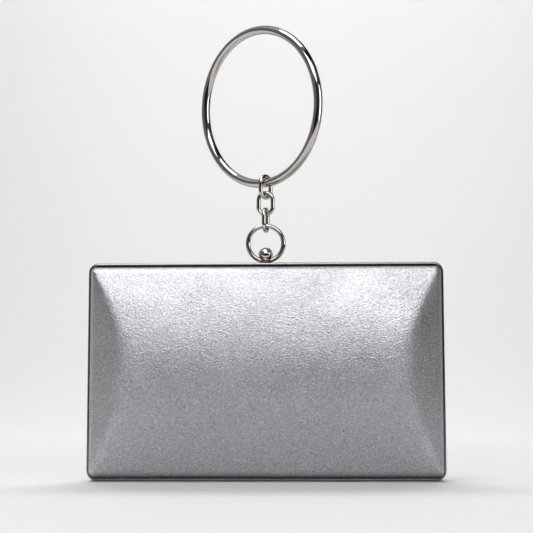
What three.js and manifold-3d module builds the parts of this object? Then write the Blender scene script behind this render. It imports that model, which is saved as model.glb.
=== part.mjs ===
// Box clutch with a ring handle: two domed leather shells in a thin metal frame that opens on a hinge
// along its base, a ball clasp with a small ring on top, a short chain and a large ring handle.
// Millimetres, +Z up, the front faces -Y. The origin is where a hand holds the raised ring handle:
// the inner face of its crown.
import * as THREE from "three";
import { mergeVertices } from "three/addons/utils/BufferGeometryUtils.js";
import Module from "manifold-3d";

const wasm = await Module();
wasm.setup();

// Frame: two half rims that meet in the middle plane
const bagWidth = 200;
const bagHeight = 122;
const rimDepth = 7.2; // from the middle plane to the lip, each half
const rimSide = 1; // thickness of the strip at the two sides
const rimEnd = 1.3; // and along top and base
const rimRound = 0.35; // rounding of the rim's edges
const rimSeam = 0.15; // from the middle plane to each half
const ledgeHeight = 0.8; // a bar inside the strip, along top and base, that the leather rests on
const grooveDepth = 2.4; // from the lip back to that bar
const topCorner = 5.5;
const bottomCorner = 6;

// Leather shells
const seatGap = 0.3; // between pieces that rest on each other
const shellWall = 2;
const shellEdge = 2.6; // from the middle plane to the shell's open edge
const rollRise = 9; // how far the padded edge rolls forward of the lip
const rollSide = 17; // width of that roll at the two sides
const rollUpright = 22; // width of that roll along top and base
const rollCurve = 1.5; // 1 slopes evenly like a bevel, 2 bends evenly like a round
const rollSteep = 1.35; // how steeply it leaves the rim
const mitreCrease = 6; // higher is a crisper mitre at the corners
const crownRise = 9.5; // further rise of the crowned middle
const crownAcross = 4; // higher keeps the crown flat for longer, from side to side
const crownUpright = 1.8; // and from base to top

// Hinge along the base
const hingeRadius = 1.8;
const hingePinRadius = 0.8;
const hingeClearance = 0.35;
const hingeInset = 7; // from the side of the bag to the first knuckle
const knuckleCount = 5;
const knuckleGap = 0.5;

// Clasp
const ballRadius = 4.1;
const ballHeight = 5.2; // ball's centre above the frame's top
const neckRadius = 2.7;
const collarRadius = 3.7;
const collarHeight = 0.9;
const claspRingRadius = 10.1; // centre line of the small ring's wire
const claspRingWire = 1.3; // radius of that wire

// Chain
const linkHeight = 14.7;
const linkWidth = 10.7;
const linkWire = 1.2; // radius of a link's wire
const linkTurns = [77, -12, 49]; // degrees about the vertical, from the clasp ring up to the handle

// Ring handle
const handleRadius = 43.9; // centre line
const handleThick = 4.8; // across the wire, in the ring's plane
const handleWide = 5.2; // across the wire, along the ring's axis
const handleTurn = 41; // degrees: its right side stands nearer to the front
const handleLean = 6.4; // degrees: its top leans forward

const toRadians = THREE.MathUtils.degToRad;

// Solids for joining and cutting
function solidOf(geometry) {
  const bare = geometry.clone();
  bare.deleteAttribute("normal");
  bare.deleteAttribute("uv");
  const merged = mergeVertices(bare, 1e-4);
  const mesh = new wasm.Mesh({
    numProp: 3,
    vertProperties: merged.attributes.position.array,
    triVerts: new Uint32Array(merged.index.array),
  });
  return new wasm.Manifold(mesh);
}

function geometryOf(solid) {
  const mesh = solid.getMesh();
  const geometry = new THREE.BufferGeometry();
  geometry.setAttribute("position", new THREE.BufferAttribute(mesh.vertProperties, 3));
  geometry.setIndex(new THREE.BufferAttribute(mesh.triVerts, 1));
  geometry.computeVertexNormals();
  return geometry;
}

// A named mesh with a material of its own
function piece(name, geometry, finish) {
  const mesh = new THREE.Mesh(geometry, new THREE.MeshStandardMaterial(finish));
  mesh.name = name;
  return mesh;
}

const leatherFinish = { color: 0xa9acb3, roughness: 0.42, metalness: 0.75 };
const nickelFinish = { color: 0x8d8a88, roughness: 0.12, metalness: 1 };

// Upright outline of the bag, seen from the front, moved inwards at the sides and at top and base
function bagOutline(Kind, insetSide, insetEnd) {
  const side = bagWidth / 2 - insetSide;
  const low = insetEnd;
  const high = bagHeight - insetEnd;
  const topRadius = topCorner - insetEnd;
  const bottomRadius = bottomCorner - insetEnd;
  const outline = new Kind();
  outline.moveTo(-side + bottomRadius, low);
  outline.lineTo(side - bottomRadius, low);
  outline.absarc(side - bottomRadius, low + bottomRadius, bottomRadius, -Math.PI / 2, 0);
  outline.lineTo(side, high - topRadius);
  outline.absarc(side - topRadius, high - topRadius, topRadius, 0, Math.PI / 2);
  outline.lineTo(-side + topRadius, high);
  outline.absarc(-side + topRadius, high - topRadius, topRadius, Math.PI / 2, Math.PI);
  outline.lineTo(-side, low + bottomRadius);
  outline.absarc(-side + bottomRadius, low + bottomRadius, bottomRadius, Math.PI, Math.PI * 1.5);
  return outline;
}

// A cylinder along X, at the hinge's axis
function alongHinge(radius, length, sides, x) {
  const rod = new THREE.CylinderGeometry(radius, radius, length, sides);
  return rod.rotateZ(Math.PI / 2).translate(x, 0, hingeRadius);
}

// Bar inside the strip, from one corner to the other, between two heights
function ledgeBar(low, high, corner) {
  const deep = rimDepth - grooveDepth - rimSeam;
  const bar = new THREE.BoxGeometry(bagWidth - 2 * corner, deep, high - low);
  return solidOf(bar.translate(0, -rimSeam - deep / 2, (low + high) / 2));
}

// Half rim in front of the middle plane, with every other knuckle of the hinge
function halfRim(firstKnuckle) {
  const section = bagOutline(THREE.Shape, 0, 0);
  section.holes.push(bagOutline(THREE.Path, rimSide, rimEnd));
  const strip = new THREE.ExtrudeGeometry(section, {
    depth: rimDepth - rimSeam - 2 * rimRound,
    curveSegments: 4,
    bevelEnabled: true,
    bevelSegments: 2,
    bevelSize: rimRound,
    bevelThickness: rimRound,
    bevelOffset: -rimRound,
  });
  strip.rotateX(Math.PI / 2).translate(0, -rimSeam - rimRound, 0);

  const relief = hingeRadius + hingeClearance;
  const channel = new THREE.BoxGeometry(bagWidth * 2, relief * 2, hingeRadius * 2);
  const embedded = rimEnd / 2;
  const inwards = rimEnd + ledgeHeight;
  let rim = solidOf(strip).add(ledgeBar(embedded, inwards, bottomCorner));
  rim = rim.add(ledgeBar(bagHeight - inwards, bagHeight - embedded, topCorner));
  rim = rim.subtract(solidOf(channel));
  rim = rim.subtract(solidOf(alongHinge(relief, bagWidth * 2, 16, 0)));

  const hingeLength = bagWidth - 2 * hingeInset;
  const knuckle = (hingeLength - (knuckleCount - 1) * knuckleGap) / knuckleCount;
  for (let i = firstKnuckle; i < knuckleCount; i += 2) {
    const x = -hingeLength / 2 + knuckle / 2 + i * (knuckle + knuckleGap);
    const web = new THREE.BoxGeometry(knuckle, relief, rimEnd);
    web.translate(x, -relief / 2 - hingePinRadius, rimEnd / 2);
    rim = rim.add(solidOf(alongHinge(hingeRadius, knuckle, 16, x))).add(solidOf(web));
  }
  const bore = alongHinge(hingePinRadius + seatGap, bagWidth, 12, 0);
  return geometryOf(rim.subtract(solidOf(bore)));
}

// Rows of the shell's surface mesh across the roll, as shares of the roll's width
const rollRows = [0, 0.03, 0.08, 0.17, 0.3, 0.47, 0.7, 1];

// Grid lines from one edge to the other: the rows of both rolls, and even steps between them
function gridLines(half, roll, middleSteps) {
  const lines = rollRows.map((share) => -half + share * roll);
  const start = -half + roll;
  const end = half - roll;
  for (let i = 1; i < middleSteps; i++) lines.push(start + ((end - start) * i) / middleSteps);
  return lines.concat(rollRows.map((share) => half - share * roll).reverse());
}

// How far the shell stands forward of the lip at a point x, z from its middle
function shellRise(x, z, halfWide, halfHigh) {
  const fromSide = Math.max((halfWide - Math.abs(x)) / rollSide, 1e-6);
  const fromEnd = Math.max((halfHigh - Math.abs(z)) / rollUpright, 1e-6);
  const crisp = -mitreCrease;
  const near = Math.pow(Math.pow(fromSide, crisp) + Math.pow(fromEnd, crisp), 1 / crisp);
  const roll = Math.pow(1 - Math.pow(1 - Math.min(near, 1), rollCurve), 1 / rollSteep);
  const across = 1 - Math.pow(Math.abs(x / halfWide), crownAcross);
  const upright = 1 - Math.pow(Math.abs(z / halfHigh), crownUpright);
  return rollRise * roll + crownRise * across * upright;
}

// Domed shell in front of the middle plane: a hollow tray with an open back
function halfShell() {
  const insetEnd = rimEnd + ledgeHeight + seatGap;
  const halfWide = bagWidth / 2 - rimSide - seatGap;
  const halfHigh = bagHeight / 2 - insetEnd;
  const xs = gridLines(halfWide, rollSide, 10);
  const zs = gridLines(halfHigh, rollUpright, 6);
  const wide = xs.length;
  const high = zs.length;
  const positions = [];
  const triangles = [];

  // A grid point moved onto the rounded outline of the ring of points that it lies on
  function rounded(i, j) {
    const ring = Math.min(i, j, wide - 1 - i, high - 1 - j);
    const endX = xs[wide - 1 - Math.min(ring, (wide - 1) >> 1)];
    const endZ = zs[high - 1 - Math.min(ring, (high - 1) >> 1)];
    const corner = (zs[j] > 0 ? topCorner : bottomCorner) - insetEnd;
    const radius = Math.max(corner - (halfWide - endX), 0);
    const outX = Math.abs(xs[i]) - (endX - radius);
    const outZ = Math.abs(zs[j]) - (endZ - radius);
    if (radius <= 0 || outX <= 0 || outZ <= 0) return [xs[i], zs[j]];
    const k = radius / Math.hypot(outX, outZ);
    return [
      Math.sign(xs[i]) * (endX - radius + outX * k),
      Math.sign(zs[j]) * (endZ - radius + outZ * k),
    ];
  }

  // Outer and inner skin: the inner one is the outer one drawn in by the wall
  for (const wall of [0, shellWall]) {
    for (let j = 0; j < high; j++) {
      for (let i = 0; i < wide; i++) {
        const [x, z] = rounded(i, j);
        const rise = shellRise(xs[i], zs[j], halfWide, halfHigh);
        positions.push(
          (x * (halfWide - wall)) / halfWide,
          -(rimDepth + rise - wall),
          bagHeight / 2 + (z * (halfHigh - wall)) / halfHigh,
        );
      }
    }
  }
  const inner = wide * high;
  for (let j = 0; j + 1 < high; j++) {
    for (let i = 0; i + 1 < wide; i++) {
      const a = j * wide + i;
      const b = a + 1;
      const c = a + wide;
      const d = c + 1;
      // Each cell is split along the line that runs towards its corner, so the mitres stay crisp
      const towardsCorner = i + 0.5 < (wide - 1) / 2 === j + 0.5 < (high - 1) / 2;
      const cell = towardsCorner ? [a, b, d, a, d, c] : [a, b, c, b, d, c];
      triangles.push(...cell);
      triangles.push(...cell.map((v) => v + inner).reverse());
    }
  }

  // Side walls: the boundary runs round once, and each of its points has a twin at the open edge
  const boundary = [];
  for (let i = 0; i < wide - 1; i++) boundary.push(i);
  for (let j = 0; j < high - 1; j++) boundary.push(j * wide + wide - 1);
  for (let i = wide - 1; i > 0; i--) boundary.push((high - 1) * wide + i);
  for (let j = high - 1; j > 0; j--) boundary.push(j * wide);
  const openEdge = positions.length / 3;
  for (const skin of [0, inner]) {
    for (const v of boundary) {
      positions.push(positions[(v + skin) * 3], -shellEdge, positions[(v + skin) * 3 + 2]);
    }
  }
  const around = boundary.length;
  for (let k = 0; k < around; k++) {
    const next = (k + 1) % around;
    const [v, w] = [boundary[k], boundary[next]];
    const [p, q] = [openEdge + k, openEdge + next];
    const [r, s] = [p + around, q + around];
    triangles.push(v, q, w, v, p, q);
    triangles.push(p, s, q, p, r, s);
    triangles.push(r, w + inner, s, r, v + inner, w + inner);
  }
  const geometry = new THREE.BufferGeometry();
  geometry.setAttribute("position", new THREE.Float32BufferAttribute(positions, 3));
  geometry.setIndex(triangles);
  return geometryOf(solidOf(geometry));
}

// Wire ring that stands upright, facing the front
function wireRing(radius, wire, around, sides) {
  return new THREE.TorusGeometry(radius, wire, sides, around).rotateX(Math.PI / 2);
}

// Ball on a collar, drilled for the wire of the small ring that passes through its foot
function claspBall(ringCentre) {
  const profile = [
    new THREE.Vector2(0, seatGap),
    new THREE.Vector2(collarRadius - seatGap, seatGap),
    new THREE.Vector2(collarRadius, seatGap * 2),
    new THREE.Vector2(collarRadius, collarHeight),
    new THREE.Vector2(neckRadius, collarHeight + seatGap),
  ];
  const start = Math.asin(neckRadius / ballRadius);
  const steps = 10;
  for (let i = 0; i < steps; i++) {
    const angle = start + ((Math.PI - start) * i) / steps;
    const drop = ballRadius * Math.cos(angle);
    profile.push(new THREE.Vector2(ballRadius * Math.sin(angle), ballHeight - drop));
  }
  profile.push(new THREE.Vector2(0, ballHeight + ballRadius));
  const turned = new THREE.LatheGeometry(profile, 20).rotateX(Math.PI / 2);
  const drill = wireRing(claspRingRadius, claspRingWire + seatGap, 36, 10);
  drill.translate(0, 0, ringCentre);
  return geometryOf(solidOf(turned).subtract(solidOf(drill)));
}

// Oval chain link, upright, facing the front
function chainLink() {
  const endRadius = linkWidth / 2 - linkWire;
  const straight = linkHeight - linkWidth;
  const link = new THREE.TorusGeometry(endRadius, linkWire, 6, 16);
  const place = link.attributes.position;
  for (let i = 0; i < place.count; i++) {
    const angle = Math.atan2(place.getY(i), place.getX(i));
    const lift = Math.abs(Math.sin(angle)) < 1e-3 ? 0 : Math.sign(Math.sin(angle));
    place.setY(i, place.getY(i) + (lift * straight) / 2);
  }
  return link.rotateX(Math.PI / 2);
}

const bag = new THREE.Group();

// Each half is a rim and a shell. The back half is the front one turned about the vertical.
for (const [half, firstKnuckle, turn] of [
  ["front", 1, 0],
  ["back", 0, Math.PI],
]) {
  const side = new THREE.Group();
  side.rotation.z = turn;
  side.add(piece(half + "_frame", halfRim(firstKnuckle), nickelFinish));
  side.add(piece(half + "_shell", halfShell(), leatherFinish));
  bag.add(side);
}

const pinLength = bagWidth - 2 * hingeInset;
bag.add(piece("hinge_pin", alongHinge(hingePinRadius, pinLength, 12, 0), nickelFinish));

// The small ring's foot passes just clear of the frame's top, through the ball's foot
const ringCentre = seatGap + claspRingWire + claspRingRadius;
const ball = piece("clasp_ball", claspBall(ringCentre), nickelFinish);
ball.position.z = bagHeight;
bag.add(ball);
const claspRing = piece(
  "clasp_ring",
  wireRing(claspRingRadius, claspRingWire, 32, 8),
  nickelFinish,
);
claspRing.position.z = bagHeight + ringCentre;
bag.add(claspRing);

// Links stand one above the other, each held by the wire of the one below with a small gap
const bow = linkHeight - 2 * linkWire; // between a link's two end wires, centre to centre
let wireBelow = bagHeight + ringCentre + claspRingRadius;
let clear = claspRingWire + linkWire + seatGap;
linkTurns.forEach((turn, i) => {
  const link = piece("chain_link_" + (i + 1), chainLink(), nickelFinish);
  link.position.z = wireBelow - clear + bow / 2;
  link.rotation.z = toRadians(turn);
  bag.add(link);
  wireBelow += bow - clear;
  clear = 2 * linkWire + seatGap;
});

// The handle's wire passes through the last link
const handleFoot = wireBelow - linkWire - seatGap - handleThick / 2;
const handleGeometry = new THREE.TorusGeometry(handleRadius, handleThick / 2, 12, 56);
handleGeometry.scale(1, 1, handleWide / handleThick);
handleGeometry.rotateX(Math.PI / 2).translate(0, 0, handleRadius);
const handle = piece("ring_handle", handleGeometry, nickelFinish);
handle.rotation.set(toRadians(handleLean), 0, -toRadians(handleTurn), "ZYX");
handle.position.z = handleFoot;
bag.add(handle);

// The whole bag hangs from the inner face of the handle's crown
const hold = new THREE.Vector3(0, 0, 2 * handleRadius - handleThick / 2);
hold.applyEuler(handle.rotation).add(handle.position);
bag.position.copy(hold).negate();

const group = new THREE.Group();
group.add(bag);
export default group;
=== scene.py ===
import math

import bmesh
import bpy
import numpy as np
from mathutils import Matrix, Vector, noise


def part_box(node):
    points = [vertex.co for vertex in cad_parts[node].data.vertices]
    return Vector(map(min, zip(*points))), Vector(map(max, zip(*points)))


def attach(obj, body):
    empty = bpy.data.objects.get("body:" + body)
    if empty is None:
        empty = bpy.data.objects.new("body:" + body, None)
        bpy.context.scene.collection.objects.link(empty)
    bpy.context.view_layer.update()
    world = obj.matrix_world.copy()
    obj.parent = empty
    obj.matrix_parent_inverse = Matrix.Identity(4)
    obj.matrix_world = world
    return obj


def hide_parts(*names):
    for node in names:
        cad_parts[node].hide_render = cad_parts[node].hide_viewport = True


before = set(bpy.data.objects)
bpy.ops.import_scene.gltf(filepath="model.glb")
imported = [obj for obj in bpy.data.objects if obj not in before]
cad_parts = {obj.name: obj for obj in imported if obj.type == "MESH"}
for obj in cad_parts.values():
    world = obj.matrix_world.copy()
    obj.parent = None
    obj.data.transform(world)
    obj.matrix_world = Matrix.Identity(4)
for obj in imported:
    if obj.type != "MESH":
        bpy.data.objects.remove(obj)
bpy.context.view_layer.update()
mm = 0.001

# Where the bag stands in the frame: its middle, its seam and its base
frontLow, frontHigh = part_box("front_frame")
backLow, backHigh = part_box("back_frame")
bagFoot = Vector((
    (frontLow.x + frontHigh.x) / 2,
    (frontLow.y + backHigh.y) / 2,
    frontLow.z,
))


def fromBag(x, y, z):
    # Millimetres from the foot of the bag's middle plane, to metres in the frame
    return bagFoot + Vector((x, y, z)) * mm


def linearColour(hexCode):
    # sRGB hex to the linear values that the shaders take
    parts = [int(hexCode[i:i + 2], 16) / 255 for i in (1, 3, 5)]
    return [c / 12.92 if c <= 0.04045 else ((c + 0.055) / 1.055) ** 2.4 for c in parts] + [1.0]


def addNode(tree, kind, settings=None, **inputs):
    # A node with its settings, and its inputs as values or as sockets to link from
    node = tree.nodes.new(kind)
    for name, value in (settings or {}).items():
        setattr(node, name, value)
    for name, value in inputs.items():
        key = int(name[1:]) if name[0] == "i" and name[1:].isdigit() else name.replace("_", " ")
        socket = node.inputs[key]
        if isinstance(value, bpy.types.NodeSocket):
            tree.links.new(value, socket)
        else:
            socket.default_value = value
    return node


def newMaterial(name):
    material = bpy.data.materials.new(name)
    material.use_nodes = True
    material.node_tree.nodes.clear()
    return material, material.node_tree


def silverLeather():
    # Foil-coated leather: a thin metal film over crinkled grain, so it shines like brushed silver
    # but scatters softly, and fine creases that run across the bag break up every highlight
    leather = {
        # light is the crests' colour, and shade is the painted shade in the creases
        "light": "#dadbdf",
        "shade": "#999a9e",
        "creaseMm": 0.7,  # height of a crease, which is a little longer
        "pebbleMm": 0.8,  # rounded grain between creases
        "patchMm": 24,  # slow change of grain depth and of gloss over the hide
        "stretch": (0.7, 1.0, 1.0),  # creases run across the bag
        "shallow": 0.65,  # depth of the grain in the flattest patches
        "grainDepth": 0.00028,
        "film": 0.88,  # how much of the surface the metal film covers
        "roughness": 0.34,
        "glossRange": 0.04,
    }
    material, tree = newMaterial("foiledSilverLeather")
    place = addNode(tree, "ShaderNodeTexCoord").outputs["Object"]
    patch = addNode(tree, "ShaderNodeTexNoise", Vector=place, Scale=1000 / leather["patchMm"],
                    Detail=3.0, Roughness=0.55)
    along = addNode(tree, "ShaderNodeVectorMath", {"operation": "MULTIPLY"}, i0=place,
                    i1=leather["stretch"])
    crease = addNode(tree, "ShaderNodeTexNoise", Vector=along.outputs[0],
                     Scale=1000 / leather["creaseMm"], Detail=2.5, Roughness=0.65, Distortion=0.8)
    pebble = addNode(tree, "ShaderNodeTexVoronoi", {"feature": "SMOOTH_F1"}, Vector=along.outputs[0],
                     Scale=1000 / leather["pebbleMm"], Smoothness=0.7, Randomness=1.0)
    grain = addNode(tree, "ShaderNodeMath", {"operation": "MULTIPLY_ADD"},
                    i0=pebble.outputs["Distance"], i1=0.5, i2=crease.outputs["Fac"])
    depth = addNode(tree, "ShaderNodeMapRange", Value=patch.outputs["Fac"], i1=0.3, i2=0.7,
                    i3=leather["shallow"], i4=1.0)
    lift = addNode(tree, "ShaderNodeMath", {"operation": "MULTIPLY"}, i0=grain.outputs[0],
                   i1=depth.outputs["Result"])
    bump = addNode(tree, "ShaderNodeBump", Height=lift.outputs[0], Strength=1.0,
                   Distance=leather["grainDepth"])
    # Painted shade: the colour is darker in the creases and lighter on the crests, following the
    # crease noise
    paintedCreaseShade = addNode(tree, "ShaderNodeMapRange", Value=crease.outputs["Fac"], i1=0.32, i2=0.68)
    tone = addNode(tree, "ShaderNodeMix", {"data_type": "RGBA"}, i0=paintedCreaseShade.outputs["Result"],
                   i6=linearColour(leather["shade"]), i7=linearColour(leather["light"]))
    gloss = addNode(tree, "ShaderNodeMapRange", Value=patch.outputs["Fac"], i1=0.3, i2=0.7,
                    i3=leather["roughness"] - leather["glossRange"],
                    i4=leather["roughness"] + leather["glossRange"])
    shader = addNode(tree, "ShaderNodeBsdfPrincipled", Base_Color=tone.outputs[2],
                     Metallic=leather["film"], Roughness=gloss.outputs["Result"],
                     Normal=bump.outputs["Normal"])
    addNode(tree, "ShaderNodeOutputMaterial", Surface=shader.outputs[0])
    return material


def darkNickel(name, roughness, clean, worn, edge):
    # Nickel plate over polished zinc: a dark, slightly warm mirror with faint polishing haze and
    # handling marks; edge is its colour at glancing angles, which keeps outlines dark on pale paper
    nickel = {"markMm": 6, "markDepth": 0.0003, "hazeMm": 0.9, "haze": 0.02}
    material, tree = newMaterial(name)
    place = addNode(tree, "ShaderNodeTexCoord").outputs["Object"]
    mark = addNode(tree, "ShaderNodeTexNoise", Vector=place, Scale=1000 / nickel["markMm"], Detail=4.0)
    haze = addNode(tree, "ShaderNodeTexNoise", Vector=place, Scale=1000 / nickel["hazeMm"], Detail=2.0)
    tone = addNode(tree, "ShaderNodeMix", {"data_type": "RGBA"}, i0=mark.outputs["Fac"],
                   i6=linearColour(clean), i7=linearColour(worn))
    gloss = addNode(tree, "ShaderNodeMapRange", Value=haze.outputs["Fac"], i1=0.3, i2=0.75,
                    i3=roughness, i4=roughness + nickel["haze"])
    bump = addNode(tree, "ShaderNodeBump", Height=mark.outputs["Fac"], Strength=0.05,
                   Distance=nickel["markDepth"])
    shader = addNode(tree, "ShaderNodeBsdfPrincipled", Base_Color=tone.outputs[2], Metallic=1.0,
                     Roughness=gloss.outputs["Result"], Normal=bump.outputs["Normal"])
    shader.inputs["Specular Tint"].default_value = linearColour(edge)
    addNode(tree, "ShaderNodeOutputMaterial", Surface=shader.outputs[0])
    return material


def greySuede():
    # Napped microfibre on the inside of the shells: matt, with a soft edge sheen
    suede = {"dark": "#4c4d52", "light": "#5d5e63", "napMm": 0.6, "napDepth": 0.0002, "sheen": 0.4}
    material, tree = newMaterial("greyMicrofibreSuede")
    place = addNode(tree, "ShaderNodeTexCoord").outputs["Object"]
    nap = addNode(tree, "ShaderNodeTexNoise", Vector=place, Scale=1000 / suede["napMm"], Detail=3.0)
    tone = addNode(tree, "ShaderNodeMix", {"data_type": "RGBA"}, i0=nap.outputs["Fac"],
                   i6=linearColour(suede["dark"]), i7=linearColour(suede["light"]))
    bump = addNode(tree, "ShaderNodeBump", Height=nap.outputs["Fac"], Strength=0.3,
                   Distance=suede["napDepth"])
    shader = addNode(tree, "ShaderNodeBsdfPrincipled", Base_Color=tone.outputs[2], Roughness=0.9,
                     Normal=bump.outputs["Normal"])
    shader.inputs["Sheen Weight"].default_value = suede["sheen"]
    addNode(tree, "ShaderNodeOutputMaterial", Surface=shader.outputs[0])
    return material


leatherMaterial = silverLeather()
rimMaterial = darkNickel("darkNickelRim", roughness=0.22, clean="#9d9995", worn="#928d89",
                         edge="#4f4c4a")
wireMaterial = darkNickel("darkNickelWire", roughness=0.025, clean="#cecac7", worn="#c2bdb8",
                          edge="#76726f")
insideMaterial = greySuede()
print("materials made")


def meshPiece(name, points, faces, materials, faceMaterials=None, sharpAngle=40):
    # A finished piece: its object at the origin, its place in its mesh, its faces pointing outwards
    mesh = bpy.data.meshes.new(name)
    mesh.from_pydata([tuple(p) for p in points], [], [tuple(f) for f in faces])
    for material in materials:
        mesh.materials.append(material)
    if faceMaterials is not None:
        mesh.polygons.foreach_set("material_index", faceMaterials)
    tidyMesh(mesh, sharpAngle)
    piece = bpy.data.objects.new(name, mesh)
    bpy.context.scene.collection.objects.link(piece)
    return piece


def tidyMesh(mesh, sharpAngle=40):
    # Doubled points joined, faces outwards, smooth but for edges sharper than the angle
    work = bmesh.new()
    work.from_mesh(mesh)
    bmesh.ops.remove_doubles(work, verts=work.verts, dist=1e-7)
    bmesh.ops.recalc_face_normals(work, faces=work.faces)
    work.to_mesh(mesh)
    work.free()
    mesh.shade_smooth()
    mesh.set_sharp_from_angle(angle=math.radians(sharpAngle))


def finishPiece(piece, body, nodes):
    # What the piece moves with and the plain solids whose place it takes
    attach(piece, body)
    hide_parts(*nodes)


# Sizes of the bag that the visible skins follow, in millimetres
bag = {
    "width": (frontHigh.x - frontLow.x) / mm,
    "height": (frontHigh.z - frontLow.z) / mm,
    "lip": 7.2,  # the rim's depth in front of the middle plane
    "rimSide": 1.0,  # the rim's thickness at the sides
    "rimEnd": 1.3,  # and along top and base
    "ledge": 0.8,  # along top and base the rim carries the leather on a ledge behind a groove
    "ledgeDepth": 2.4,
    "seam": 0.15,  # from the middle plane to the rim's meeting face
    "topCorner": 5.5,
    "bottomCorner": 6,
    "gap": 0.3,  # between neighbouring pieces
}


def turnedHalf(points, half):
    # The back half is the front one turned half a turn about the vertical
    return points * np.array([-1, -1, 1]) if half == "back" else points


shell = {
    "wall": 2.0,
    "openEdge": 2.6,  # from the middle plane to the open edge
    "edgeRise": 3.5,  # a short steep edge, where the leather turns into the rim
    "edgeWidth": 4.0,
    "sideSlope": 0.62,  # rise for each millimetre from the side: a bevel
    "crownRise": 12.0,  # and from base to top a bow
    "crownPower": 1.7,
    "crownSoft": 0.3,  # share of the half height over which the bow's middle is rounded
    "mitreCrease": 10,  # higher is a crisper line where bevel and bow meet
    "fineBand": 24.0,  # width of the closer grid lines at the edges
    "fineLines": 30,
    "fineCloseness": 1.9,
    "plainAcross": 84,  # even grid spaces between them
    "plainUpright": 40,
    "waveMm": 34,  # slow waviness of leather stretched over a board
    "waveHeight": 0.16,
    "waveSeed": {"front": 0, "back": 50},
}


def edgeRise(inwards):
    # The steep first millimetres of the dome
    share = np.minimum(inwards / shell["edgeWidth"], 1)
    return shell["edgeRise"] * np.sqrt(1 - (1 - share) ** 2)


def crownFall(share):
    # Share of the bow lost at a share of the half height, rounded off at the middle
    power, soft = shell["crownPower"] / 2, shell["crownSoft"] ** 2
    return ((share ** 2 + soft) ** power - soft ** power) / ((1 + soft) ** power - soft ** power)


def shellRise(x, z, halfWide, halfHigh):
    # Height of the dome over the lip: bevelled sides that meet the bow in mitred corners
    fromSide = np.maximum(halfWide - np.abs(x), 1e-6)
    fromEnd = np.maximum(halfHigh - np.abs(z), 1e-6)
    side = edgeRise(fromSide) + shell["sideSlope"] * fromSide
    bow = edgeRise(fromEnd) + shell["crownRise"] * (1 - crownFall(z / halfHigh))
    crisp = -shell["mitreCrease"]
    return (side ** crisp + np.maximum(bow, 1e-6) ** crisp) ** (1 / crisp)


def gridLines(half, middleSteps):
    # Lines close together at the edge, where the roll is steep, and even in the middle
    band = shell["fineBand"]
    low = -half + np.linspace(0, 1, shell["fineLines"] + 1) ** shell["fineCloseness"] * band
    middle = np.linspace(-half + band, half - band, middleSteps + 1)[1:-1]
    return np.concatenate([low, middle, -low[::-1]])


def leatherShell(half):
    # One half of the bag's body, a hollow tray: leather outside, suede inside
    insetSide = bag["rimSide"] + bag["gap"]
    insetEnd = bag["rimEnd"] + bag["ledge"] + bag["gap"]
    halfWide, halfHigh = bag["width"] / 2 - insetSide, bag["height"] / 2 - insetEnd
    xs = gridLines(halfWide, shell["plainAcross"])
    zs = gridLines(halfHigh, shell["plainUpright"])
    wide, high = len(xs), len(zs)

    # The grid's outer rings follow the bag's rounded corners
    flat = []
    for j, z in enumerate(zs):
        for i, x in enumerate(xs):
            ring = min(i, j, wide - 1 - i, high - 1 - j)
            endX, endZ = xs[wide - 1 - ring], zs[high - 1 - ring]
            corner = bag["topCorner"] if z > 0 else bag["bottomCorner"]
            radius = max(corner - insetEnd - (halfWide - endX), 0)
            outX, outZ = abs(x) - (endX - radius), abs(z) - (endZ - radius)
            if radius > 0 and outX > 0 and outZ > 0:
                k = radius / math.hypot(outX, outZ)
                flat.append((math.copysign(endX - radius + outX * k, x),
                             math.copysign(endZ - radius + outZ * k, z)))
            else:
                flat.append((x, z))
    flat = np.array(flat)
    gridX, gridZ = np.meshgrid(xs, zs)
    rise = shellRise(gridX, gridZ, halfWide, halfHigh).ravel()
    edge = np.minimum(rise / shell["edgeRise"], 1)
    seed = shell["waveSeed"][half]
    wave = np.array([noise.noise(Vector((x / shell["waveMm"], seed, z / shell["waveMm"])))
                     for x, z in flat]) * shell["waveHeight"] * edge

    # Two skins, leather (0) and suede (1), joined round the open edge
    points, faces, kinds = [], [], []
    for wall, skin in ((0, 0), (shell["wall"], 1)):
        points += [(x * (halfWide - wall) / halfWide,
                    -(bag["lip"] + r - wall + (0 if skin else w)),
                    bag["height"] / 2 + z * (halfHigh - wall) / halfHigh)
                   for (x, z), r, w in zip(flat, rise, wave)]
    inner = wide * high
    for j in range(high - 1):
        for i in range(wide - 1):
            a = j * wide + i
            faces.append((a, a + 1, a + wide + 1, a + wide))
            kinds.append(0)
            faces.append(tuple(v + inner for v in reversed(faces[-1])))
            kinds.append(1)
    boundary = (list(range(wide - 1))
                + [j * wide + wide - 1 for j in range(high - 1)]
                + [(high - 1) * wide + i for i in range(wide - 1, 0, -1)]
                + [j * wide for j in range(high - 1, 0, -1)])
    around = len(boundary)
    openEdge = len(points)
    for skin in (0, inner):
        points += [(points[v + skin][0], -shell["openEdge"], points[v + skin][2]) for v in boundary]
    for k in range(around):
        n = (k + 1) % around
        v, w, p, q = boundary[k], boundary[n], openEdge + k, openEdge + n
        faces += [(v, p, q, w), (p, p + around, q + around, q),
                  (v + inner, w + inner, q + around, p + around)]
        kinds += [0, 0, 1]
    placed = turnedHalf(np.array(points), half) * mm + np.array(bagFoot)
    piece = meshPiece(half + "LeatherShell", placed, faces, [leatherMaterial, insideMaterial],
                      kinds, sharpAngle=50)
    finishPiece(piece, half + "_half", [half + "_shell"])


hinge = {
    "radius": 1.8,
    "pinRadius": 0.8,
    "clearance": 0.35,
    "inset": 7,  # from the side of the bag to the first knuckle
    "count": 5,
    "gap": 0.5,
    "chamfer": 0.15,
    "segments": 28,
    "webFoot": 0.02,  # over the base
    "webOverlap": 0.5,  # how far the web runs into the rim
    "webDraft": 0.3,
    "webCover": 0.1,  # kept over the bore, and under the rim's inner face
}


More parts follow.
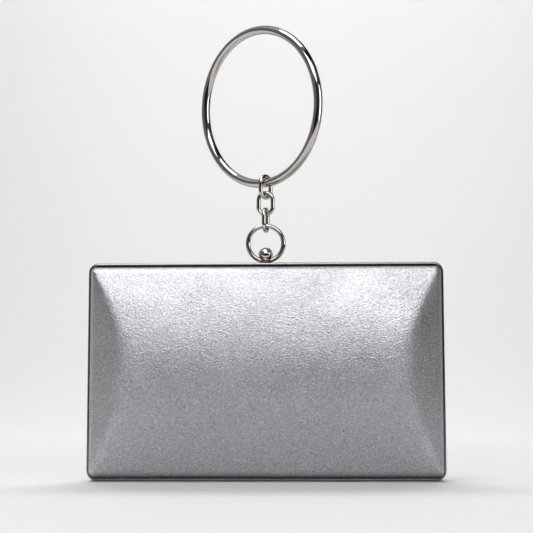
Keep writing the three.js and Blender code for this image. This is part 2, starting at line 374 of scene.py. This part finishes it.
def rimPath():
    # Once round the outline from the base's right end: point, inward direction
    side, high = bag["width"] / 2, bag["height"]
    steps = 14
    path = []
    corners = [(1, 0, bag["bottomCorner"], -90), (1, 1, bag["topCorner"], 0),
               (-1, 1, bag["topCorner"], 90), (-1, 0, bag["bottomCorner"], 180)]
    for signX, up, radius, start in corners:
        cx = signX * (side - radius)
        cz = high - radius if up else radius
        for step in range(steps + 1):
            angle = math.radians(start + 90 * step / steps)
            out = (math.cos(angle), math.sin(angle))
            path.append((cx + radius * out[0], cz + radius * out[1], -out[0], -out[1]))
    return path


def rimSection(thick, ledge):
    # Across the strip: how far inwards, and how far from the lip towards the seam
    steps = 5
    back, step = bag["lip"] - bag["seam"], bag["ledgeDepth"]
    section = []
    corners = ((0, 0, 1.0, 180), (thick, 0, 0.3, 270), (thick + ledge, step, 0.15, 270),
               (thick + ledge, back, 0.2, 0), (0, back, 0.3, 90))
    for inwards, deep, radius, start in corners:
        if inwards > thick and deep == step:
            section.append((thick, step))
        centreN = inwards + radius if start in (90, 180) else inwards - radius
        centreY = deep + radius if start in (180, 270) else deep - radius
        for k in range(steps + 1):
            angle = math.radians(start + 90 * k / steps)
            section.append((centreN + radius * math.cos(angle), centreY + radius * math.sin(angle)))
    return section


def metalRim(half):
    # Half rim with every other knuckle of the hinge
    relief = hinge["radius"] + hinge["clearance"]
    path = rimPath()
    section = rimSection(bag["rimEnd"], bag["ledge"])
    sideShare = bag["rimSide"] / bag["rimEnd"]
    points = []
    for x, z, inX, inZ in path:
        for n, deep in section:
            sideN = min(n, bag["rimEnd"]) * sideShare
            px, pz = x + inX * sideN, z + inZ * n
            y = -bag["lip"] + deep
            rel = pz - hinge["radius"]
            if rel < relief:
                y = min(y, -math.sqrt(relief ** 2 - max(rel, 0) ** 2))
            points.append((px, y, pz))
    around, sides = len(path), len(section)
    faces = []
    for k in range(around):
        for s in range(sides):
            a, b = k * sides + s, k * sides + (s + 1) % sides
            c, d = ((k + 1) % around) * sides + s, ((k + 1) % around) * sides + (s + 1) % sides
            faces.append((a, b, d, c))

    # Knuckles: a rolled tube with its web, all round an inner bore
    length = bag["width"] - 2 * hinge["inset"]
    knuckle = (length - (hinge["count"] - 1) * hinge["gap"]) / hinge["count"]
    bore = hinge["pinRadius"] + bag["gap"]
    first = 1 if half == "front" else 0
    segments = hinge["segments"]
    for i in range(first, hinge["count"], 2):
        middle = -length / 2 + knuckle / 2 + i * (knuckle + hinge["gap"])
        c = hinge["chamfer"]
        tube = [(-knuckle / 2, bore), (-knuckle / 2, hinge["radius"] - c),
                (-knuckle / 2 + c, hinge["radius"]), (knuckle / 2 - c, hinge["radius"]),
                (knuckle / 2, hinge["radius"] - c), (knuckle / 2, bore)]
        start = len(points)
        for s in range(segments):
            angle = 2 * math.pi * s / segments
            for x, r in tube:
                points.append((middle + x, r * math.cos(angle), hinge["radius"] + r * math.sin(angle)))
        for s in range(segments):
            for t in range(len(tube)):
                a, b = start + s * len(tube) + t, start + s * len(tube) + (t + 1) % len(tube)
                shift = ((s + 1) % segments - s) * len(tube)
                faces.append((a, b, b + shift, a + shift))
        # Web from the strip to the tube, flush with the base
        start = len(points)
        near, far = -bore - hinge["webCover"], -relief - hinge["webOverlap"]
        foot, top = hinge["webFoot"], bag["rimEnd"] - hinge["webCover"]
        for x in (middle - knuckle / 2, middle + knuckle / 2):
            points += [(x, near, foot), (x, far, foot), (x, far, top),
                       (x, near - hinge["webDraft"], top)]
        for s in range(4):
            n = (s + 1) % 4
            faces.append((start + s, start + n, start + 4 + n, start + 4 + s))
        faces += [tuple(start + s for s in (3, 2, 1, 0)), tuple(start + s for s in (4, 5, 6, 7))]
    placed = turnedHalf(np.array(points), half) * mm + np.array(bagFoot)
    piece = meshPiece(half + "MetalRim", placed, faces, [rimMaterial], sharpAngle=35)
    finishPiece(piece, half + "_half", [half + "_frame"])


for half in ("front", "back"):
    leatherShell(half)
    metalRim(half)
print("shells and rims made")


clasp = {
    "ballRadius": 4.1,
    "ballHeight": 5.2,
    "neckRadius": 2.7,
    "collarRadius": 3.7,
    "collarHeight": 0.9,
    "collarFoot": 0.3,  # over the rim
    "footChamfer": (0.25, 0.2),
    "collarChamfer": (0.2, 0.15),
    "steps": 28,
    "segments": 56,
    "ringRadius": 10.1,  # to the middle of the wire
    "ringWire": 1.3,  # radius of the wire
}
claspRingHeight = bag["height"] + bag["gap"] + clasp["ringWire"] + clasp["ringRadius"]


def wireLoop(radius, thick, wide, around, sides):
    # Upright wire ring in the XZ plane round the origin: points and faces
    points, faces = [], []
    for k in range(around):
        turn = 2 * math.pi * k / around
        for s in range(sides):
            angle = 2 * math.pi * s / sides
            r = radius + thick / 2 * math.cos(angle)
            points.append((r * math.cos(turn), wide / 2 * math.sin(angle), r * math.sin(turn)))
            a, b = k * sides + s, k * sides + (s + 1) % sides
            c, d = ((k + 1) % around) * sides + s, ((k + 1) % around) * sides + (s + 1) % sides
            faces.append((a, b, d, c))
    return np.array(points), faces


def claspBall():
    # A turned ball on its collar, drilled for the foot of the small ring
    c = clasp
    foot, edge, top = c["collarFoot"], c["collarRadius"], c["collarHeight"]
    footIn, footUp = c["footChamfer"]
    topIn, topDown = c["collarChamfer"]
    profile = [(0, foot), (edge - footIn, foot), (edge, foot + footUp), (edge, top - topDown),
               (edge - topIn, top), (c["neckRadius"], top + foot)]
    start = math.asin(c["neckRadius"] / c["ballRadius"])
    for i in range(c["steps"]):
        angle = start + (math.pi - start) * i / c["steps"]
        profile.append((c["ballRadius"] * math.sin(angle),
                        c["ballHeight"] - c["ballRadius"] * math.cos(angle)))
    profile.append((0, c["ballHeight"] + c["ballRadius"]))
    segments = c["segments"]
    points = [(0, 0, profile[0][1]), (0, 0, profile[-1][1])]
    faces = []
    rings = profile[1:-1]
    for s in range(segments):
        angle = 2 * math.pi * s / segments
        points += [(r * math.cos(angle), r * math.sin(angle), z) for r, z in rings]
    count = len(rings)
    for s in range(segments):
        a, b = 2 + s * count, 2 + ((s + 1) % segments) * count
        faces.append((0, b, a))
        faces.append((1, a + count - 1, b + count - 1))
        faces += [(a + t, b + t, b + t + 1, a + t + 1) for t in range(count - 1)]
    placed = (np.array(points) + (0, 0, bag["height"])) * mm + np.array(bagFoot)
    piece = meshPiece("claspBall", placed, faces, [wireMaterial])
    drillWide = 2 * (c["ringWire"] + bag["gap"])
    drillPoints, drillFaces = wireLoop(c["ringRadius"], drillWide, drillWide, 160, 24)
    drillPlaced = (drillPoints + (0, 0, claspRingHeight)) * mm + np.array(bagFoot)
    drill = meshPiece("drill", drillPlaced, drillFaces, [wireMaterial])
    cut = piece.modifiers.new("drill", "BOOLEAN")
    cut.operation = "DIFFERENCE"
    cut.object = drill
    cut.solver = "EXACT"
    applyModifiers(piece)
    bpy.data.objects.remove(drill)
    finishPiece(piece, "back_half", ["clasp_ball"])


def applyModifiers(piece):
    # The evaluated mesh takes the place of the piece's own, and the modifiers go
    bpy.context.view_layer.update()
    evaluated = piece.evaluated_get(bpy.context.evaluated_depsgraph_get())
    made = bpy.data.meshes.new_from_object(evaluated)
    piece.modifiers.clear()
    piece.data = made
    tidyMesh(made)


def claspRing():
    wire = 2 * clasp["ringWire"]
    points, faces = wireLoop(clasp["ringRadius"], wire, wire, 128, 20)
    placed = (points + (0, 0, claspRingHeight)) * mm + np.array(bagFoot)
    piece = meshPiece("claspRing", placed, faces, [wireMaterial])
    finishPiece(piece, "back_half", ["clasp_ring"])


claspBall()
claspRing()
print("clasp made")


chain = {
    "linkHeight": 14.7,
    "linkWidth": 10.7,
    "wire": 1.2,  # radius of the wire
    "ovalSteps": 72,
    "wireSides": 18,
    "turns": [77, -12, 49],  # degrees about the vertical, from the small ring up
}


def linkTree():
    # An oval link at each point, turned by the point's own angle
    tree = bpy.data.node_groups.new("ovalLinks", "GeometryNodeTree")
    tree.is_modifier = True
    tree.interface.new_socket(name="Geometry", in_out="INPUT", socket_type="NodeSocketGeometry")
    for name in ("End radius", "Straight", "Wire radius"):
        tree.interface.new_socket(name=name, in_out="INPUT", socket_type="NodeSocketFloat")
    tree.interface.new_socket(name="Material", in_out="INPUT", socket_type="NodeSocketMaterial")
    tree.interface.new_socket(name="Geometry", in_out="OUTPUT", socket_type="NodeSocketGeometry")
    inputs = addNode(tree, "NodeGroupInput").outputs
    oval = addNode(tree, "GeometryNodeCurvePrimitiveCircle", {"mode": "RADIUS"},
                   Resolution=chain["ovalSteps"], Radius=inputs["End radius"])
    place = addNode(tree, "GeometryNodeInputPosition")
    split = addNode(tree, "ShaderNodeSeparateXYZ", Vector=place.outputs[0])
    sign = addNode(tree, "ShaderNodeMath", {"operation": "SIGN"}, i0=split.outputs["Y"])
    half = addNode(tree, "ShaderNodeMath", {"operation": "MULTIPLY"}, i0=inputs["Straight"], i1=0.5)
    lift = addNode(tree, "ShaderNodeMath", {"operation": "MULTIPLY"}, i0=sign.outputs[0],
                   i1=half.outputs[0])
    offset = addNode(tree, "ShaderNodeCombineXYZ", Y=lift.outputs[0])
    stretched = addNode(tree, "GeometryNodeSetPosition", Geometry=oval.outputs["Curve"],
                        Offset=offset.outputs[0])
    section = addNode(tree, "GeometryNodeCurvePrimitiveCircle", {"mode": "RADIUS"},
                      Resolution=chain["wireSides"], Radius=inputs["Wire radius"])
    link = addNode(tree, "GeometryNodeCurveToMesh", Curve=stretched.outputs[0],
                   Profile_Curve=section.outputs["Curve"])
    turn = addNode(tree, "GeometryNodeInputNamedAttribute", {"data_type": "FLOAT"}, Name="turn")
    angles = addNode(tree, "ShaderNodeCombineXYZ", X=math.pi / 2, Z=turn.outputs[0])
    rotation = addNode(tree, "FunctionNodeEulerToRotation", Euler=angles.outputs[0])
    placed = addNode(tree, "GeometryNodeInstanceOnPoints", Points=inputs["Geometry"],
                     Instance=link.outputs[0], Rotation=rotation.outputs[0])
    real = addNode(tree, "GeometryNodeRealizeInstances", Geometry=placed.outputs[0])
    coated = addNode(tree, "GeometryNodeSetMaterial", Geometry=real.outputs[0],
                     Material=inputs["Material"])
    addNode(tree, "NodeGroupOutput", Geometry=coated.outputs[0])
    return tree


def chainLinks():
    # The links one above the other, taut; gives the height of the top link's upper inside
    bow = chain["linkHeight"] - 2 * chain["wire"]
    wireBelow = claspRingHeight + clasp["ringRadius"]
    clear = clasp["ringWire"] + chain["wire"] + bag["gap"]
    middles = []
    for _ in chain["turns"]:
        middles.append(fromBag(0, 0, wireBelow - clear + bow / 2))
        wireBelow += bow - clear
        clear = 2 * chain["wire"] + bag["gap"]
    mesh = bpy.data.meshes.new("chainLinks")
    mesh.from_pydata(middles, [], [])
    turns = mesh.attributes.new("turn", "FLOAT", "POINT")
    turns.data.foreach_set("value", [math.radians(t) for t in chain["turns"]])
    piece = bpy.data.objects.new("chainLinks", mesh)
    bpy.context.scene.collection.objects.link(piece)
    maker = piece.modifiers.new("links", "NODES")
    maker.node_group = linkTree()
    values = {
        "End radius": (chain["linkWidth"] / 2 - chain["wire"]) * mm,
        "Straight": (chain["linkHeight"] - chain["linkWidth"]) * mm,
        "Wire radius": chain["wire"] * mm,
        "Material": wireMaterial,
    }
    for item in maker.node_group.interface.items_tree:
        if item.item_type == "SOCKET" and item.in_out == "INPUT" and item.name in values:
            maker[item.identifier] = values[item.name]
    applyModifiers(piece)
    finishPiece(piece, "back_half",
                ["chain_link_1", "chain_link_2", "chain_link_3"])
    return wireBelow


topWire = chainLinks()
print("chain made")


handle = {
    "radius": 43.9,  # to the middle of the wire
    "thick": 4.8,
    "wide": 5.2,
    "around": 256,
    "sides": 32,
    "turn": 41,  # degrees, right side nearer to the front
    "lean": 6.4,  # degrees, top forward
}


def ringHandle():
    foot = topWire - chain["wire"] - bag["gap"] - handle["thick"] / 2
    points, faces = wireLoop(handle["radius"], handle["thick"], handle["wide"], handle["around"],
                             handle["sides"])
    points = points + (0, 0, handle["radius"])
    turned = (Matrix.Rotation(-math.radians(handle["turn"]), 3, "Z")
              @ Matrix.Rotation(math.radians(handle["lean"]), 3, "X"))
    placed = (points @ np.array(turned).T + (0, 0, foot)) * mm + np.array(bagFoot)
    piece = meshPiece("ringHandle", placed, faces, [wireMaterial])
    finishPiece(piece, "back_half", ["ring_handle"])


ringHandle()
print("handle made")

# The pin stays the plain solid, in the rim's metal
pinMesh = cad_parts["hinge_pin"].data
pinMesh.materials.clear()
pinMesh.materials.append(rimMaterial)
print("hinge pin coated")


# A low camera, tilted up a little, as the photograph's lines converge
camera = {
    "place": (23.1, -713.1, 42.1),  # millimetres from the bag's foot
    "pitch": 6.27,
    "yaw": -1.82,
    "roll": -0.09,
    "focalPixels": 1260,  # focal length in pixels of the picture
    "imagePixels": 533,
    "sensor": 36,
}


def addCamera():
    pitch, yaw, roll = (math.radians(camera[k]) for k in ("pitch", "yaw", "roll"))
    forward = Vector((math.sin(yaw) * math.cos(pitch), math.cos(yaw) * math.cos(pitch),
                      math.sin(pitch)))
    level = Vector((math.cos(yaw), -math.sin(yaw), 0))
    up = level.cross(forward)
    right = level * math.cos(roll) + up * math.sin(roll)
    up = up * math.cos(roll) - level * math.sin(roll)
    lens = bpy.data.cameras.new("photoCamera")
    lens.sensor_width = camera["sensor"]
    lens.lens = camera["focalPixels"] / camera["imagePixels"] * camera["sensor"]
    lens.clip_start = 0.01
    seen = bpy.data.objects.new("photoCamera", lens)
    turned = Matrix((right, up, -forward)).transposed().to_4x4()
    turned.translation = fromBag(*camera["place"])
    seen.matrix_world = turned
    bpy.context.scene.collection.objects.link(seen)
    bpy.context.scene.camera = seen


studio = {
    "floor": "#c9c9c9",
    "floorDrop": 0.05,  # millimetres under the bag's base
    "front": 330,  # the table's front edge, just below the picture
    "sweepStart": 1100,  # where the paper begins to rise, behind the bag
    "sweepRadius": 900,
    "halfWidth": 1100,
    "top": 2600,
    "sweepSteps": 24,
    "darkest": 0.97,  # how much darker the paper's faint patches are
}


def addFloor():
    # Seamless paper over a table: flat floor, a large cove and a wall
    material, tree = newMaterial("palePaperSweep")
    place = addNode(tree, "ShaderNodeTexCoord").outputs["Object"]
    mottle = addNode(tree, "ShaderNodeTexNoise", Vector=place, Scale=2.0, Detail=2.0)
    paper = linearColour(studio["floor"])
    mixed = addNode(tree, "ShaderNodeMix", {"data_type": "RGBA"}, i0=mottle.outputs["Fac"],
                    i6=[c * studio["darkest"] for c in paper[:3]] + [1.0], i7=paper)
    shader = addNode(tree, "ShaderNodeBsdfPrincipled", Base_Color=mixed.outputs[2], Roughness=0.85)
    addNode(tree, "ShaderNodeOutputMaterial", Surface=shader.outputs[0])
    line = [(-studio["front"], 0), (studio["sweepStart"], 0)]
    steps = studio["sweepSteps"]
    for i in range(1, steps + 1):
        angle = math.pi / 2 * i / steps
        line.append((studio["sweepStart"] + studio["sweepRadius"] * math.sin(angle),
                     studio["sweepRadius"] * (1 - math.cos(angle))))
    line.append((line[-1][0], studio["top"]))
    points = [fromBag(x, y, z - studio["floorDrop"])
              for y, z in line for x in (-studio["halfWidth"], studio["halfWidth"])]
    faces = [(2 * i, 2 * i + 1, 2 * i + 3, 2 * i + 2) for i in range(len(line) - 1)]
    mesh = bpy.data.meshes.new("paperSweep")
    mesh.from_pydata(points, [], faces)
    mesh.materials.append(material)
    mesh.shade_smooth()
    sweep = bpy.data.objects.new("paperSweep", mesh)
    bpy.context.scene.collection.objects.link(sweep)


lights = {
    # place and aim in millimetres from the bag's foot, size in metres, power in watts; a lamp that
    # isn't mirrored lights the paper only, and one that doesn't light matt things only glints
    "overheadSoftbox": {"place": (-200, -310, 1210), "aim": (-200, -309, 0), "size": (0.75, 0.6),
                        "turn": 40, "power": 6.0},
    "frontSoftbox": {"place": (70, -1200, 1010), "aim": (0, 0, 200), "size": (1.3, 0.6),
                     "turn": 0, "power": 7.9, "lightsMatt": False},
    "rightReflector": {"place": (175, -80, 212), "aim": (0, 0, 212), "size": (0.1, 0.13),
                       "turn": 0, "power": 0.02, "spread": 60},
    "backdropLamp": {"place": (0, 1150, 1400), "aim": (0, 2000, 350), "size": (2.2, 0.4),
                     "turn": 0, "power": 24.0, "mirrored": False},
    "rearLight": {"place": (0, 1850, 2300), "aim": (0, -2500, 0), "size": (2.0, 1.5),
                  "turn": 0, "power": 62.0, "mirrored": False, "spread": 120},
    "frontFill": {"place": (60, -1500, 900), "aim": (0, -100, -250), "size": (2.4, 0.5),
                  "turn": 0, "power": 12.0, "mirrored": False},
}


def addLights():
    for name, light in lights.items():
        lamp = bpy.data.lights.new(name, "AREA")
        lamp.shape = "RECTANGLE"
        lamp.size, lamp.size_y = light["size"]
        lamp.energy = light["power"]
        lamp.spread = math.radians(light.get("spread", 180))
        holder = bpy.data.objects.new(name, lamp)
        holder.visible_glossy = light.get("mirrored", True)
        holder.visible_diffuse = light.get("lightsMatt", True)
        start, aim = fromBag(*light["place"]), fromBag(*light["aim"])
        turn = (aim - start).to_track_quat("-Z", "Y").to_matrix().to_4x4()
        spin = Matrix.Rotation(math.radians(light["turn"]), 4, "Z")
        holder.matrix_world = Matrix.Translation(start) @ turn @ spin
        bpy.context.scene.collection.objects.link(holder)


room = {
    # what stands round the table: bearings from the camera's side (right is positive) and heights,
    # both in degrees, and how bright it is; each one lies over those before it
    "walls": {"bearing": (-180, 180), "height": (-90, 90), "glow": 0.6},
    "leftSide": {"bearing": (-106, -56), "height": (-38, 42), "glow": 0.16},
    "leftFront": {"bearing": (-60, -18), "height": (-10, 50), "glow": 0.15},
    "cameraSide": {"bearing": (-24, 24), "height": (-12, 18), "glow": 0.02},
    "rightSide": {"bearing": (24, 64), "height": (-34, 30), "glow": 0.07},
    "rightHigh": {"bearing": (44, 85), "height": (24, 50), "glow": 0.12},
    "rightFar": {"bearing": (64, 124), "height": (-34, 30), "glow": 0.02},
    "behindCamera": {"bearing": (-46, 22), "height": (-36, -7), "glow": 0.005},
    "rightFlag": {"bearing": (-12, 150), "height": (48, 66), "glow": 0.01},
    "rightDark": {"bearing": (85, 152), "height": (30, 66), "glow": 0.01},
}


def addRoom():
    # The studio as the metal mirrors it: soft-edged areas of different brightness
    world = bpy.data.worlds.new("studioRoom")
    world.use_nodes = True
    tree = world.node_tree
    tree.nodes.clear()
    direction = addNode(tree, "ShaderNodeTexCoord").outputs["Generated"]
    parts = addNode(tree, "ShaderNodeSeparateXYZ", Vector=direction)
    towards = addNode(tree, "ShaderNodeMath", {"operation": "MULTIPLY"}, i0=parts.outputs["Y"],
                      i1=-1.0)
    bearing = addNode(tree, "ShaderNodeMath", {"operation": "ARCTAN2"}, i0=parts.outputs["X"],
                      i1=towards.outputs[0]).outputs[0]
    height = addNode(tree, "ShaderNodeMath", {"operation": "ARCSINE"},
                     i0=parts.outputs["Z"]).outputs[0]
    glow = None
    for name, area in room.items():
        if glow is None:
            glow = area["glow"]
            continue
        inside = 1.0
        for angle, (low, high) in ((bearing, area["bearing"]), (height, area["height"])):
            for edge, sign in ((low, 1), (high, -1)):
                inside = softStep(tree, angle, edge, sign, inside)
        glow = addNode(tree, "ShaderNodeMix", {"data_type": "FLOAT"}, i0=inside, i2=glow,
                       i3=area["glow"]).outputs[0]
    light = addNode(tree, "ShaderNodeBackground", Color=glow, Strength=1.0)
    addNode(tree, "ShaderNodeOutputWorld", Surface=light.outputs[0])
    bpy.context.scene.world = world


def softStep(tree, angle, edge, sign, inside):
    # 0 to 1 across an edge 8 degrees wide, times what is already inside
    soft = 4
    step = addNode(tree, "ShaderNodeMapRange", {"interpolation_type": "SMOOTHSTEP"}, Value=angle,
                   i1=math.radians(edge - soft), i2=math.radians(edge + soft),
                   i3=0.0 if sign > 0 else 1.0, i4=1.0 if sign > 0 else 0.0)
    return addNode(tree, "ShaderNodeMath", {"operation": "MULTIPLY"}, i0=step.outputs["Result"],
                   i1=inside).outputs[0]


addCamera()
addFloor()
addLights()
addRoom()
bpy.context.scene.view_settings.view_transform = "Standard"
print("camera, floor and light set")
